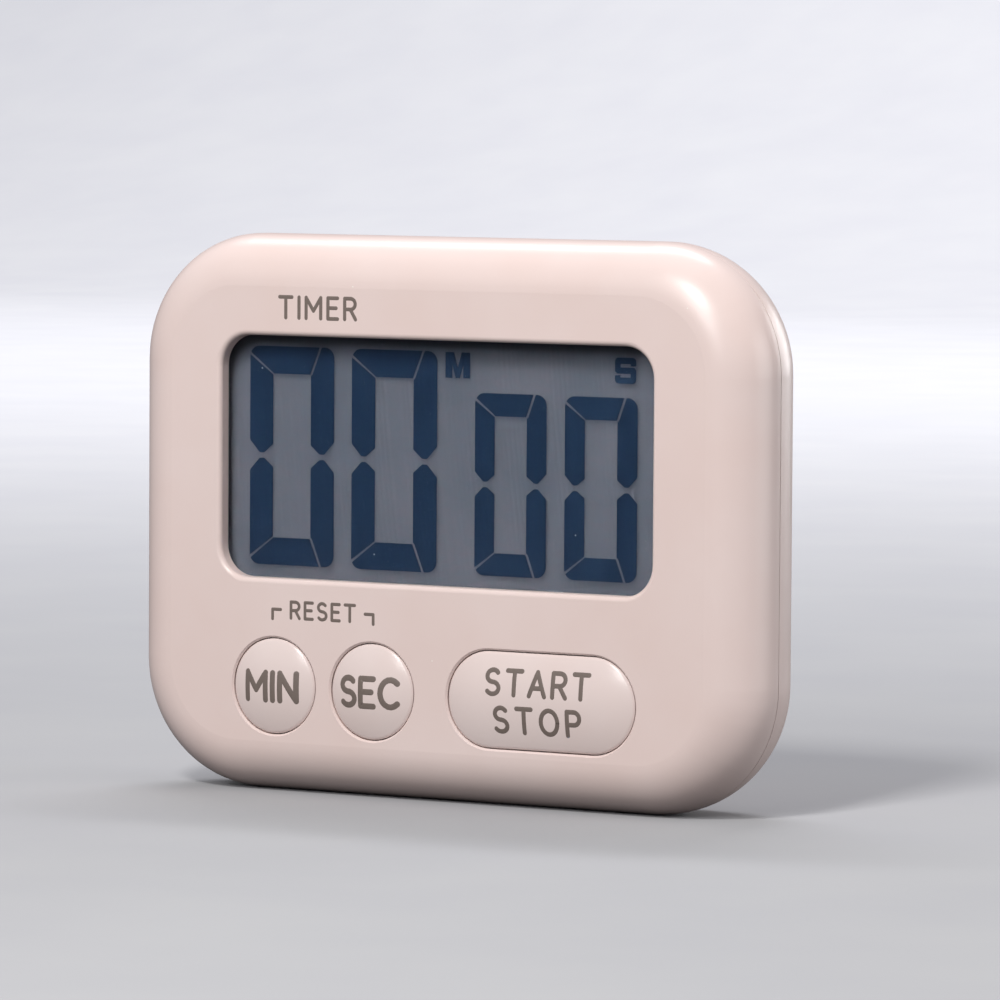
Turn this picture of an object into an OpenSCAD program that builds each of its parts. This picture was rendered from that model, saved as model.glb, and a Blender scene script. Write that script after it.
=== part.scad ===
// Digital kitchen timer: a pillow-shaped case in two shells, a liquid crystal display, three
// sprung buttons, a piezo buzzer, one AAA cell behind a hinged door, two magnets and a fold-out stand.
//
// Every module draws its piece lying on its back: X to the right, Y up the face, Z from the back
// plane (0) to the face (body_d). upright() then stands it up, with the face towards -Y and the
// origin at the middle of the flat back, which is what the magnets hold against a metal surface.

/* [Case] */
// Width of the case
body_w = 98; // [96.5:0.5:120]
// Height of the case
body_h = 76; // [75:0.5:92]
// Depth inside the case that is left over, on top of what the cell and the display need
spare_d = 0.6; // [0.3:0.1:3]
// Radius of the four corners, seen from the front
corner_r = 17.5; // [16:0.5:19]
// Rounding between the face and the sides
face_edge_r = 7; // [5:0.1:7.4]
// Rounding between the sides and the back
back_edge_r = 12; // [11:0.1:12.2]
// Thickness of both shells
wall = 2; // [1.8:0.05:2.1]
// Gap that shows as the parting line
seam = 0.12; // [0.08:0.01:0.2]

/* [Display] */
// Width of the display opening
opening_w = 68; // [60:0.5:68.5]
// Height of the display opening
opening_h = 33; // [28:0.5:33.5]
// Corner radius of the display opening
opening_r = 4.3; // [3:0.1:6]
// Height of the opening's middle above the middle of the case
display_y = 7.8; // [7:0.1:8.2]
// Rounding of the opening's lip
lip_r = 0.7; // [0.4:0.1:1.3]
// Space between the opening's edge and the minute digits, above and below
digit_margin = 1.575; // [1:0.025:4]
// Size of the second digits, as a share of the minute digits
second_share = 0.82; // [0.6:0.01:0.9]

/* [Buttons] */
// Diameter of the minute and second buttons, and height of the start button
button_d = 12.95; // [11.5:0.05:13.5]
// Overall width of the start button
start_w = 28.9; // [24:0.1:30]
// Space between the minute and second buttons
button_space = 2.8; // [2.6:0.05:3.6]
// Space between the second and start buttons
start_space = 5.6; // [5.4:0.05:6.4]
// Height of the button row below the middle of the case
button_drop = 23.4; // [23:0.1:24]
// Gap around each button
button_gap = 0.16; // [0.12:0.01:0.3]
// Travel of each button
button_travel = 0.7; // [0.4:0.05:0.75]

/* [Back] */
// Width of the stand
stand_w = 28; // [20:0.5:30]
// Thickness of the stand
stand_t = 2; // [1.6:0.1:2.1]
// Diameter of the stand's hinge pin
stand_pin_d = 1.5; // [1.2:0.05:1.6]
// Diameter of the AAA cell
cell_d = 10.5; // [10:0.05:10.5]
// Length of the AAA cell with its nub
cell_l = 44.5; // [43.5:0.1:45]

/* [Hidden] */
$fn = 64;
eps = 0.01;

// Levels, counted up from the back plane
cell_low_z = 1.9;                   // underside of the cell
bay_gap = 0.1;
bay_roof = 0.7;
board_drop = 4.2;                   // from the inside of the face to the front of the board
body_d = cell_low_z + cell_d + bay_gap + bay_roof + spare_d + board_drop + wall;
part_z = body_d - 7.8;              // parting plane
face_in = body_d - wall;            // inside of the face
tape_t = 0.1;
window_t = 0.8;
window_z = face_in - tape_t - window_t;
polariser_t = 0.15;
glass_t = 0.5;
crystal_t = 0.05;                   // layer that holds the segments
front_glass_z = window_z - 0.2 - glass_t;
segment_z = front_glass_z - crystal_t;
rear_glass_z = segment_z - glass_t;
reflector_t = 0.2;
reflector_z = rear_glass_z - reflector_t;
board_t = 1;
board_top = face_in - board_drop;
board_z = board_top - board_t;      // back of the circuit board
pad_t = 0.04;

// Display stack, in plan
glass_w = opening_w + 3;
glass_bottom = display_y - opening_h / 2 - 3.5;
glass_top = display_y + opening_h / 2 + 2.5;
glass_h = glass_top - glass_bottom;
ledge_h = 2.6;                      // strip of the front glass that carries the contacts
holder_rim = 1.8;
holder_gap = 0.15;
window_w = opening_w + 6;
window_h = opening_h + 5.6;
window_r = opening_r + 2.6;
ear_x = 20;
ear_y = glass_top + 3.4;

// Digits: widths follow the opening's width, and heights its height
digit_base_y = display_y - opening_h / 2 + digit_margin;
minute_h = opening_h - 2 * digit_margin;
minute_w = opening_w / 5;
minute_bar = minute_w * 0.275;
digit_space = minute_w * 0.21;
minute_x = -opening_w / 2 + 2.7;
minute_end = minute_x + 2 * minute_w + digit_space;
second_h = minute_h * second_share;
second_w = minute_w * second_share;
second_bar = minute_bar * second_share;
second_x = minute_end + 6;
second_end = second_x + 2 * second_w + digit_space;
letter_h = 3.45;
letter_w = 3.5;
letter_y = digit_base_y + minute_h - letter_h - 0.05;
letter_m_x = minute_end + 1.3;
letter_s_x = second_end - letter_w;

// Buttons, in plan and in height
row_y = -button_drop;
row_end = (2 * button_d + button_space + start_space + start_w) / 2;
start_x = row_end - start_w / 2;
second_button_x = row_end - start_w - start_space - button_d / 2;
minute_button_x = second_button_x - button_d - button_space;
flange = 0.9;                       // how far the hidden flange reaches past the cap
flange_t = 0.8;
cap_z = face_in - 0.2 - flange_t;
crown = 0.9;                        // how far the crown of a cap stands out of the face
crown_rise = 1.1;
cap_edge_r = 0.9;                   // rounding that carries the crown over into the hole
cap_edge_a = 50;                    // slope of that rounding where the cap's side begins
core_w = 5.2;
start_core_w = 13;
core_gap = 0.15;
mat_t = 0.7;
pill_t = 0.4;
pill_rest = button_travel + 0.1;    // height of a pill over the board at rest

// Fasteners
post_x = body_w / 2 - 8.15;
post_y = body_h / 2 - 14;
post_d = 5.4;
boss_d = 6.4;
screw_d = 1.96;
screw_hole_d = 2;
screw_head_d = 4.2;
screw_head_t = 1.4;
screw_seat_z = 3.6;
screw_l = 12;
boss_top_z = 9.5;
board_post_d = 3.8;
board_screw_d = 1.56;
board_screw_l = 4.2;

// Board outline, its three posts and what is soldered to it
post_in = 2.4;                      // from the board's sides in to its two upper posts
post_up = 7.1;                      // from the row's line up to them
row_reach = max(row_end, button_d / 2 - minute_button_x);
post_apart = button_d / 2 + flange + board_post_d / 2 + 0.3;
post_clear_x = row_reach - button_d / 2 + sqrt(max(0, pow(post_apart, 2) - pow(post_up, 2)));
board_w = max(glass_w + 3.4, 2 * (post_clear_x + post_in));
board_bottom = row_y - 9.6;
board_high = 3;
board_posts = [[post_in - board_w / 2, row_y + post_up], [board_w / 2 - post_in, row_y + post_up],
               [row_end - start_w - start_space / 2, board_bottom + 2.5]];
chip_at = [14, -9];
crystal_at = [-2, -14];
chip_parts = [[4, -4, 0], [8, -17, 90], [22, -15, 0], [-8, -8, 90], [-8, -18, 0], [27, -8, 90]];
mat_low = 7.4;                      // how far the keypad reaches below the row, and above it
mat_high = 6.6;

// Battery compartment
cell_y = 14.2;
cell_z = cell_low_z + cell_d / 2;
bay_l = cell_l + 3.9;
bay_w = cell_d + 0.7;
bay_wall = 1.4;
bay_top_z = cell_z + cell_d / 2 + bay_gap;
door_t = 1.6;
door_gap = 0.2;
door_l = bay_l + 0.8;
door_w = bay_w + 2;
door_pin_d = 0.9;
door_y = cell_y - door_w / 2 + door_t / 2 + 0.1;      // hinge line of the door
door_axis_z = door_t / 2 + 0.1;
contact_t = 0.3;
sleeve_t = 0.15;
nub_l = 1;

// Magnets
magnet = [7.5, 15, 2.4];
magnet_rim = 1.3;
magnet_x = bay_l / 2 + bay_wall + magnet_rim + magnet[0] / 2 + 0.95;
magnet_gap = 0.08;

// Stand
stand_axis_y = -5.2;
stand_axis_z = 1.65;
stand_barrel_r = 1.5;
stand_gap = 0.3;
stand_bottom = -33.5;
pan_wall = 1.5;
ear_l = 2.6;                        // length of the pin held in each side of the recess

// Buzzer
buzzer_d = 20;
buzzer = [-stand_w / 2 - stand_gap - pan_wall - buzzer_d / 2 - 0.2, -20];
ceramic_d = 14;
buzzer_z = 4.4;
buzzer_t = 0.2;

rubber_grey = [0.30, 0.31, 0.33];
case_pink = [0.89, 0.79, 0.76];
ink_navy = [0.13, 0.18, 0.29];
board_green = [0.16, 0.38, 0.25];
nickel = [0.75, 0.75, 0.74];

module upright() {
    rotate([90, 0, 0]) children();
}

module round_rect(w, h, r) {
    if (w > 2 * r) square([w - 2 * r, h], center = true);
    if (h > 2 * r) square([w, h - 2 * r], center = true);
    for (x = [-1, 1], y = [-1, 1])
        translate([x * (w / 2 - r), y * (h / 2 - r)]) circle(r);
}

// A plate of round_rect outline between two levels
module plate(w, h, r, z0, z1, x = 0, y = 0) {
    translate([x, y, z0]) linear_extrude(z1 - z0) round_rect(w, h, r);
}

module block(x0, x1, y0, y1, z0, z1) {
    translate([x0, y0, z0]) cube([x1 - x0, y1 - y0, z1 - z0]);
}

// Carries an edge profile around a rounded rectangle. The profile's X runs outwards from the
// corner's axis and its Y is the height, and it fills X = 0 from z0 to z1.
module around(w, h, r, z0, z1) {
    sx = w / 2 - r;
    sy = h / 2 - r;
    if (sx > 0 && sy > 0) block(-sx, sx, -sy, sy, z0, z1);
    for (a = [0, 180]) rotate(a) if (sy > 0)
        translate([sx, sy, 0]) rotate([90, 0, 0]) linear_extrude(2 * sy) children();
    for (a = [90, 270]) rotate(a) if (sx > 0)
        translate([sy, sx, 0]) rotate([90, 0, 0]) linear_extrude(2 * sx) children();
    for (q = [0:3]) {
        side = [[1, 1], [-1, 1], [-1, -1], [1, -1]][q];
        translate([side[0] * sx, side[1] * sy, 0]) rotate(90 * q) rotate_extrude(angle = 90) children();
    }
}

// What a fillet of radius r takes off a square corner at the origin
module fillet_off(r) {
    difference() {
        square(r + 1);
        circle(r);
    }
}

// The case's outer solid, or the same solid with its whole skin moved inwards
module case_solid(inset = 0) {
    r = corner_r - inset;
    rf = face_edge_r - inset;
    rb = back_edge_r - inset;
    around(body_w - 2 * inset, body_h - 2 * inset, r, inset, body_d - inset)
        difference() {
            translate([0, inset]) square([r, body_d - 2 * inset]);
            translate([r - rf, body_d - inset - rf]) fillet_off(rf);
            translate([r - rb, inset + rb]) mirror([0, 1]) fillet_off(rb);
        }
}

// The opening's cutter, which flares to leave a rounded lip
module opening_cut() {
    translate([0, display_y, 0])
        around(opening_w, opening_h, opening_r, face_in - 1, body_d + 1)
            difference() {
                translate([0, face_in - 1]) square([opening_r + lip_r, wall + 2]);
                translate([opening_r, face_in - 2]) square([lip_r + 1, wall + 2 - lip_r]);
                translate([opening_r + lip_r, body_d - lip_r]) circle(lip_r);
            }
}

// Cutter for a button hole, with a small bevel at the face
module button_cut(w) {
    r = button_d / 2 + button_gap;
    bevel = 0.25;
    around(w + 2 * button_gap, 2 * r, r, face_in - 1, body_d + 1)
        polygon([[0, face_in - 1], [r, face_in - 1], [r, body_d - bevel], [r + bevel, body_d],
                 [r + bevel, body_d + 1], [0, body_d + 1]]);
}

module at_buttons() {
    translate([minute_button_x, row_y, 0]) children(0);
    translate([second_button_x, row_y, 0]) children(0);
    translate([start_x, row_y, 0]) children(1);
}

module at_posts() {
    for (x = [-1, 1], y = [-1, 1]) translate([x * post_x, y * post_y, 0]) children();
}

module at_board_posts() {
    for (p = board_posts) translate([p[0], p[1], 0]) children();
}

module front_cover() {
    color(case_pink) difference() {
        union() {
            difference() {
                intersection() {
                    case_solid();
                    block(-body_w, body_w, -body_h, body_h, part_z, body_d + 1);
                }
                case_solid(wall);
            }
            intersection() {
                union() {
                    at_posts() translate([0, 0, boss_top_z + 0.2]) cylinder(h = body_d, d = post_d);
                    at_board_posts() translate([0, 0, board_top]) cylinder(h = body_d, d = board_post_d);
                    for (x = [-1, 1])
                        translate([x * ear_x, ear_y, board_top + 0.2]) cylinder(h = body_d, d = 2);
                }
                case_solid(wall / 2);
            }
        }
        opening_cut();
        at_buttons() {
            button_cut(button_d);
            button_cut(start_w);
        }
        at_posts() cylinder(h = face_in - 1, d = screw_hole_d);
        at_board_posts() cylinder(h = face_in - 0.6, d = board_screw_d + 0.04);
    }
}

// Part of the shell between two depths under the skin, inside a straight-sided window
module skin_part(from, to, w, y0, y1, z1) {
    intersection() {
        difference() {
            case_solid(from);
            case_solid(to);
        }
        block(-w / 2, w / 2, y0, y1, -1, z1);
    }
}

module screw_bore() {
    translate([0, 0, -1]) cylinder(h = screw_seat_z + 1, d = screw_head_d + 0.5);
    cylinder(h = boss_top_z + 1, d = screw_d + 0.44);
}

// Pair of upright boxes where the magnets sit, grown by a margin
module magnet_boxes(grow, z0, z1) {
    for (x = [-1, 1])
        block(x * magnet_x - magnet[0] / 2 - grow, x * magnet_x + magnet[0] / 2 + grow,
              cell_y - magnet[1] / 2 - grow, cell_y + magnet[1] / 2 + grow, z0, z1);
}

module rear_cover() {
    recess_top = stand_axis_y + stand_barrel_r + stand_gap;
    lip_w = body_w - 2 * wall - 0.2;
    lip_h = body_h - 2 * wall - 0.2;
    lip_corner = corner_r - wall - 0.1;
    barrel_box = stand_barrel_r + stand_gap;
    color(case_pink * 0.98) difference() {
        union() {
            difference() {
                intersection() {
                    case_solid();
                    block(-body_w, body_w, -body_h, body_h, -1, part_z - seam);
                }
                case_solid(wall);
            }
            // tongue that centres this shell inside the other
            difference() {
                plate(lip_w, lip_h, lip_corner, part_z - 3, part_z + 1.4);
                plate(lip_w - 2, lip_h - 2, lip_corner - 1, part_z - 4, part_z + 2);
            }
            intersection() {
                at_posts() translate([0, 0, 1]) cylinder(h = boss_top_z - 1, d = boss_d);
                case_solid(wall / 2);
            }
            // pan around the stand, with thicker ears at the hinge
            skin_part(wall / 2, stand_t + stand_gap + pan_wall, stand_w + 2 * (stand_gap + pan_wall),
                      stand_bottom - stand_gap - pan_wall, recess_top + pan_wall, part_z - 1);
            block(-stand_w / 2 - stand_gap - ear_l - 1, stand_w / 2 + stand_gap + ear_l + 1,
                  stand_axis_y - barrel_box - pan_wall, recess_top + pan_wall,
                  1, stand_axis_z + barrel_box + pan_wall);
            // battery bay
            block(-bay_l / 2 - bay_wall, bay_l / 2 + bay_wall, cell_y - bay_w / 2 - bay_wall,
                  cell_y + bay_w / 2 + bay_wall, 1, bay_top_z + bay_roof);
            magnet_boxes(magnet_rim, 1, magnet[2] + magnet_rim);
            // ring that the buzzer is glued to
            translate([buzzer[0], buzzer[1], 1]) difference() {
                cylinder(h = buzzer_z + 0.4 - 1, d = buzzer_d + 1.8);
                translate([0, 0, buzzer_z - 1]) cylinder(h = 2, d = buzzer_d + 0.2);
                cylinder(h = 9, d = buzzer_d - 2);
            }
        }
        at_posts() screw_bore();
        // stand recess
        skin_part(-1, stand_t + stand_gap, stand_w + 2 * stand_gap,
                  stand_bottom - stand_gap, recess_top, part_z);
        block(-stand_w / 2 - stand_gap, stand_w / 2 + stand_gap, stand_axis_y - barrel_box, recess_top,
              -1, stand_axis_z + barrel_box);
        translate([-stand_w / 2 - stand_gap - ear_l, stand_axis_y, stand_axis_z]) rotate([0, 90, 0])
            cylinder(h = stand_w + 2 * (stand_gap + ear_l), d = stand_pin_d + 0.02);
        // finger notch at the stand's foot
        translate([0, stand_bottom - 0.5, 1.5]) sphere(4.2);
        // battery bay and door recess
        block(-bay_l / 2, bay_l / 2, cell_y - bay_w / 2, cell_y + bay_w / 2, -1, bay_top_z);
        block(-door_l / 2 - door_gap, door_l / 2 + door_gap, cell_y - door_w / 2 - door_gap,
              cell_y + door_w / 2 + door_gap, -1, door_t + 0.15);
        translate([0, door_y, door_axis_z]) rotate([0, 90, 0])
            cylinder(h = door_l + 3, d = door_pin_d + 0.1, center = true);
        translate([0, cell_y + door_w / 2 + 1.2, -3.2]) sphere(4.4);
        magnet_boxes(magnet_gap, -1, magnet[2] + 0.05);
        // sound holes
        translate([buzzer[0], buzzer[1], -1]) {
            cylinder(h = 4, d = 1.6);
            for (a = [0:60:300]) rotate(a) translate([3.6, 0, 0]) cylinder(h = 4, d = 1.6);
        }
    }
}

module display_window() {
    color([0.85, 0.88, 0.9, 0.35])
        plate(window_w, window_h, window_r, window_z, window_z + window_t, y = display_y);
}

module window_tape() {
    color([0.12, 0.12, 0.13]) difference() {
        plate(window_w, window_h, window_r, face_in - tape_t, face_in, y = display_y);
        plate(opening_w + 1, opening_h + 1, opening_r + 0.5, face_in - 1, face_in + 1, y = display_y);
    }
}

module glass_sheet(bottom, z, t, margin = 0) {
    block(-glass_w / 2 + margin, glass_w / 2 - margin, bottom + margin, glass_top - margin, z, z + t);
}

module front_polariser() {
    color([0.36, 0.39, 0.41, 0.5])
        glass_sheet(glass_bottom + ledge_h - 0.4, front_glass_z + glass_t, polariser_t, 0.5);
}

module lcd_front_glass() {
    color([0.8, 0.9, 0.88, 0.35]) glass_sheet(glass_bottom, front_glass_z, glass_t);
}

module lcd_rear_glass() {
    color([0.8, 0.9, 0.88, 0.35]) glass_sheet(glass_bottom + ledge_h, rear_glass_z, glass_t);
}

module lcd_reflector() {
    color([0.45, 0.48, 0.51]) glass_sheet(glass_bottom + ledge_h - 0.4, reflector_z, reflector_t, 0.4);
}

// Seven-segment nought: every segment is lit but the middle one. The bars meet in mitres with a
// hairline between them, and the side bars end in points at mid-height.
module nought(w, h, bar) {
    hair = 0.13;
    waist = 0.75;
    corner = 1.5;
    side_mitre = bar * 0.3 - 1;     // where the left mitres pass X = -1
    end_mitre = w - bar * 0.42;     // where the right mitres pass Y = -1
    tip = bar * 0.42;
    intersection() {
        translate([w / 2, h / 2]) round_rect(w, h, corner);
        difference() {
            square([w, h]);
            translate([bar, bar]) square([w - 2 * bar, h - 2 * bar]);
            // mitres: the left ones start on the side edge, the right ones on the end edge
            for (up = [0, 1]) translate([0, up * h]) mirror([0, up]) {
                polygon([[-1, side_mitre - hair], [bar, bar - hair], [bar + 1, bar + 1],
                         [bar, bar + hair], [-1, side_mitre + 3 * hair]]);
                polygon([[end_mitre, -1], [w - bar + 2 * hair, bar], [w - bar - 1, bar + 1],
                         [w - bar - hair, bar], [end_mitre - 3 * hair, -1]]);
            }
            // waist: a wedge from each side that leaves the bars pointed
            for (side = [0, 1]) translate([side * w, h / 2]) mirror([side, 0])
                for (flip = [0, 1]) mirror([0, flip])
                    polygon([[-1, -0.1], [-1, bar * 0.62], [0, bar * 0.55], [tip, waist / 2],
                             [bar * 0.62, waist / 2], [bar + eps, tip], [bar + eps, -0.1]]);
        }
    }
}

module digit_pair(x, w, h, bar) {
    for (i = [0, 1])
        translate([x + i * (w + digit_space), digit_base_y, segment_z])
            linear_extrude(crystal_t) nought(w, h, bar);
}

module lcd_minute_digits() {
    color(ink_navy) digit_pair(minute_x, minute_w, minute_h, minute_bar);
}

module lcd_second_digits() {
    color(ink_navy) digit_pair(second_x, second_w, second_h, second_bar);
}

module letter_m(w, h) {
    bar = w * 0.27;
    polygon([[0, 0], [bar, 0], [bar, h * 0.55], [w * 0.42, 0], [w * 0.58, 0], [w - bar, h * 0.55],
             [w - bar, 0], [w, 0], [w, h], [w - bar * 1.25, h], [w / 2, h * 0.38], [bar * 1.25, h], [0, h]]);
}

// A blocky S with round outer corners, built from five bars
module letter_s(w, h) {
    bar = h * 0.24;
    r = h * 0.16;
    difference() {
        translate([w / 2, h / 2]) round_rect(w, h, r);
        translate([bar, h / 2 + bar / 2]) square([w - 2 * bar, h / 2 - bar * 1.5]);
        translate([bar, bar]) square([w - 2 * bar, h / 2 - bar * 1.5]);
        translate([w - bar - eps, h / 2 + bar / 2]) square([bar + 1, bar * 0.22]);
        translate([-1, h / 2 - bar * 0.72]) square([bar + 1 + eps, bar * 0.22]);
        translate([w, h / 2 + bar * 0.5]) circle(bar * 0.32);
        translate([0, h / 2 - bar * 0.5]) circle(bar * 0.32);
    }
}

module lcd_unit_letters() {
    color(ink_navy) translate([0, letter_y, segment_z]) linear_extrude(crystal_t) {
        translate([letter_m_x, 0]) letter_m(letter_w * 1.1, letter_h);
        translate([letter_s_x, 0]) letter_s(letter_w * 0.92, letter_h);
    }
}

module lcd_holder() {
    pocket_w = glass_w + 2 * holder_gap;
    rim_w = pocket_w + 2 * holder_rim;
    low = glass_bottom - holder_gap - holder_rim;
    high = glass_top + holder_gap + holder_rim;
    color([0.82, 0.82, 0.8]) difference() {
        union() {
            block(-rim_w / 2, rim_w / 2, low, high, board_top, front_glass_z + glass_t);
            for (x = [-1, 1]) {
                translate([x * ear_x, ear_y, board_top + 0.4]) cylinder(h = 1.5, d = 4);
                block(x * ear_x - 2, x * ear_x + 2, high - 1, ear_y, board_top + 0.4, board_top + 1.9);
            }
        }
        block(-pocket_w / 2, pocket_w / 2, glass_bottom - holder_gap, glass_top + holder_gap,
              reflector_z, face_in);
        block(-pocket_w / 2 + 2.5, pocket_w / 2 - 2.5, glass_bottom + ledge_h + 2, glass_top - 2.5,
              0, face_in);
        block(-glass_w / 2 + 1.8, glass_w / 2 - 1.8, glass_bottom - holder_gap,
              glass_bottom + ledge_h - 0.3, 0, face_in);
        for (x = [-1, 1]) translate([x * ear_x, ear_y, 0]) cylinder(h = face_in, d = 2.1);
    }
}

module zebra_connector() {
    color([0.55, 0.52, 0.5])
        block(-glass_w / 2 + 2.5, glass_w / 2 - 2.5, glass_bottom + 0.3, glass_bottom + ledge_h - 0.6,
              board_top + pad_t, front_glass_z);
}

module circuit_board() {
    color(board_green) difference() {
        block(-board_w / 2, board_w / 2, board_bottom, board_high, board_z, board_top);
        at_board_posts() cylinder(h = body_d, d = 2);
    }
}

// Interleaved fingers under one key
module key_fingers(w) {
    for (i = [-1, 1]) {
        block(-w / 2, w / 2, i * 2.9 - 0.25, i * 2.9 + 0.25, board_top, board_top + pad_t);
        for (x = [-w / 2 + 0.4 + (i + 1) * 0.35 : 1.4 : w / 2 - 0.4])
            block(x - 0.2, x + 0.2, i > 0 ? -2.2 : -2.9, i > 0 ? 2.9 : 2.2, board_top, board_top + pad_t);
    }
}

module contact_pads() {
    color([0.85, 0.68, 0.32]) {
        at_buttons() {
            key_fingers(5.6);
            key_fingers(13);
        }
        for (x = [-glass_w / 2 + 3.2 : 2 : glass_w / 2 - 3.2])
            block(x - 0.5, x + 0.5, glass_bottom + 0.3, glass_bottom + ledge_h - 0.6,
                  board_top, board_top + pad_t);
    }
}

// Epoxy drop over the bare chip, on the back of the board
module controller_chip() {
    color([0.07, 0.07, 0.08]) translate([chip_at[0], chip_at[1], board_z - 1.5]) rotate_extrude()
        intersection() {
            translate([0, 10.2]) circle(10.2);
            square([4.9, 1.5]);
        }
}

module clock_crystal() {
    color(nickel) translate([crystal_at[0], crystal_at[1], board_z - 1.05]) rotate([0, 90, 0]) {
        cylinder(h = 6, d = 2);
        for (y = [-0.35, 0.35]) translate([0, y, -2]) cylinder(h = 2.1, d = 0.3);
    }
}

module chip_components() {
    color([0.62, 0.5, 0.38])
        for (p = chip_parts) translate([p[0], p[1], board_z]) rotate(p[2])
                block(-1, 1, -0.6, 0.6, -0.7, 0);
}

// A button: crowned cap with a rounded rim, on a flange that keeps it in its hole
module button(w) {
    r = button_d / 2;
    crown_r = (r * r + crown_rise * crown_rise) / (2 * crown_rise);
    crown_z = body_d + crown - crown_r;
    rim_x = r - cap_edge_r * sin(cap_edge_a);
    rim_z = crown_z + sqrt(pow(crown_r - cap_edge_r, 2) - rim_x * rim_x);
    lean = asin(rim_x / (crown_r - cap_edge_r));    // where the crown's arc meets the rim's
    around(w, button_d, r, cap_z + flange_t / 2, body_d + crown)
        difference() {
            intersection() {
                translate([0, cap_z + flange_t / 2]) square([r, body_d]);
                translate([0, crown_z]) circle(crown_r, $fn = 256);
            }
            translate([rim_x, rim_z]) difference() {
                polygon([[0, 0], [r * sin(lean), r * cos(lean)], [r, r * cos(lean)], [r, 0]]);
                circle(cap_edge_r);
            }
        }
    plate(w + 2 * flange, button_d + 2 * flange, r + flange, cap_z, cap_z + flange_t);
}

module minute_button() {
    color(case_pink) translate([minute_button_x, row_y, 0]) button(button_d);
}

module second_button() {
    color(case_pink) translate([second_button_x, row_y, 0]) button(button_d);
}

module start_stop_button() {
    color(case_pink) translate([start_x, row_y, 0]) button(start_w);
}

module key_prism(w, d, z0, z1) {
    plate(w, d, d / 2, z0, z1);
}

module keypad_mat() {
    ring = 1;                       // thickness of the collar around each core
    collar_h = 1.6;
    grow = 2 * (core_gap + ring);
    color(rubber_grey) difference() {
        union() {
            block(minute_button_x - button_d / 2 - 1, row_end + 1, row_y - mat_low, row_y + mat_high,
                  board_top + pad_t + eps, board_top + mat_t);
            at_buttons() {
                key_prism(core_w + grow, core_w + grow, board_top + mat_t / 2, board_top + collar_h);
                key_prism(start_core_w + grow, core_w + grow, board_top + mat_t / 2, board_top + collar_h);
            }
        }
        at_buttons() {
            key_prism(core_w + 2 * core_gap, core_w + 2 * core_gap, 0, body_d);
            key_prism(start_core_w + 2 * core_gap, core_w + 2 * core_gap, 0, body_d);
        }
        at_board_posts() cylinder(h = body_d, d = board_post_d + 0.6);
    }
}

module key_core(w) {
    color(rubber_grey) key_prism(w, core_w, board_top + pill_rest + pill_t, cap_z);
}

module key_pill(w) {
    inset = 1.4;
    z = board_top + pill_rest;
    color([0.1, 0.1, 0.1]) key_prism(w - inset, core_w - inset, z, z + pill_t);
}

module minute_key_core() {
    translate([minute_button_x, row_y, 0]) key_core(core_w);
}

module second_key_core() {
    translate([second_button_x, row_y, 0]) key_core(core_w);
}

module start_stop_key_core() {
    translate([start_x, row_y, 0]) key_core(start_core_w);
}

module minute_key_pill() {
    translate([minute_button_x, row_y, 0]) key_pill(core_w);
}

module second_key_pill() {
    translate([second_button_x, row_y, 0]) key_pill(core_w);
}

module start_stop_key_pill() {
    translate([start_x, row_y, 0]) key_pill(start_core_w);
}

module buzzer_plate() {
    color([0.8, 0.65, 0.3])
        translate([buzzer[0], buzzer[1], buzzer_z]) cylinder(h = buzzer_t, d = buzzer_d);
}

module buzzer_ceramic() {
    color([0.85, 0.84, 0.8])
        translate([buzzer[0], buzzer[1], buzzer_z + buzzer_t]) cylinder(h = buzzer_t, d = ceramic_d);
}

// Smooth path through points, and a round tube along it
function spline_point(p, i, t) =
    let (a = p[max(i - 1, 0)], b = p[i], c = p[i + 1], d = p[min(i + 2, len(p) - 1)])
    0.5 * (2 * b + (c - a) * t + (2 * a - 5 * b + 4 * c - d) * t * t + (3 * b - a - 3 * c + d) * t * t * t);
function spline(p, n) =
    concat([for (i = [0 : len(p) - 2], k = [0 : n - 1]) spline_point(p, i, k / n)], [p[len(p) - 1]]);
function unit(v) = v / norm(v);
function tube_ring(path, i, r, sides, ref) =
    let (t = unit(path[min(i + 1, len(path) - 1)] - path[max(i - 1, 0)]),
         u = unit(cross(t, ref)),
         v = cross(t, u))
    [for (k = [0 : sides - 1]) path[i] + r * (cos(360 * k / sides) * u + sin(360 * k / sides) * v)];
module tube(path, r, sides, ref = [0.12, 0.31, 0.94]) {
    n = len(path);
    points = [for (i = [0 : n - 1]) each tube_ring(path, i, r, sides, ref)];
    skin = [for (i = [0 : n - 2], k = [0 : sides - 1])
        let (a = i * sides + k, b = i * sides + (k + 1) % sides)
        each [[a, b + sides, b], [a, a + sides, b + sides]]];
    ends = [[for (k = [0 : sides - 1]) k], [for (k = [sides - 1 : -1 : 0]) (n - 1) * sides + k]];
    polyhedron(points, concat(skin, ends));
}

wire_r = 0.45;
wire_sides = 8;
module wire(points) {
    tube(spline(points, 5), wire_r, wire_sides);
}

module buzzer_red_wire() {
    color([0.75, 0.12, 0.1])
        wire([[-24, -17, 5.3], [-22, -15.5, 6], [-20, -13, 8], [-18.5, -10.5, 10.5],
              [-18, -10, board_z - 0.12]]);
}

module buzzer_black_wire() {
    color([0.08, 0.08, 0.08])
        wire([[-18, -24, 5.1], [-16.2, -24.5, 6.2], [-14.5, -24, 8.4], [-13.2, -22.5, 10.8],
              [-13, -22, board_z - 0.12]]);
}

module battery_can() {
    left = bay_l / 2 - contact_t - 0.3 - cell_l;
    color(nickel) translate([left, cell_y, cell_z]) rotate([0, 90, 0]) {
        cylinder(h = cell_l - nub_l, d = cell_d - 2 * sleeve_t);
        cylinder(h = cell_l, d = 3.8);
    }
}

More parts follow.
